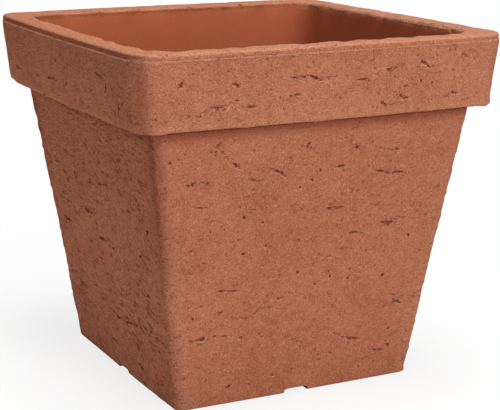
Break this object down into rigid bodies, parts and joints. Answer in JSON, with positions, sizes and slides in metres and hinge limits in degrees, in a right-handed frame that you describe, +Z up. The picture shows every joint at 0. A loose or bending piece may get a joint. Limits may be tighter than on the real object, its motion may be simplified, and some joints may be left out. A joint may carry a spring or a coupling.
{
  "type": "square planter",
  "caption": "Square tapered plant pot with a deep rim band, crossing drain channels under its base and pull-out plugs in the drain holes.",
  "frame": {"origin": "middle of the footprint, on the ground under the feet", "axes": "+Z up out of the pot's mouth, -Y towards the broad lit side of the picture, -X towards its shaded side"},
  "size_m": [0.4008, 0.4008, 0.358],
  "materials": {
    "terracotta": "matte, sandy, unglazed, with small pits",
    "plug_rubber": "matte moulded rubber"
  },
  "bodies": {
    "pot": {"pot_shell": "terracotta"},
    "right_plug": {"drain_plug_right": "plug_rubber"},
    "back_plug": {"drain_plug_back": "plug_rubber"},
    "left_plug": {"drain_plug_left": "plug_rubber"},
    "front_plug": {"drain_plug_front": "plug_rubber"}
  },
  "joints": [
    {"name": "right_plug_pull", "type": "slide", "parent": "pot", "child": "right_plug", "axis": [0, 0, 1], "range_m": [0, 0.04]},
    {"name": "back_plug_pull", "type": "slide", "parent": "pot", "child": "back_plug", "axis": [0, 0, 1], "range_m": [0, 0.04]},
    {"name": "left_plug_pull", "type": "slide", "parent": "pot", "child": "left_plug", "axis": [0, 0, 1], "range_m": [0, 0.04]},
    {"name": "front_plug_pull", "type": "slide", "parent": "pot", "child": "front_plug", "axis": [0, 0, 1], "range_m": [0, 0.04]}
  ]
}
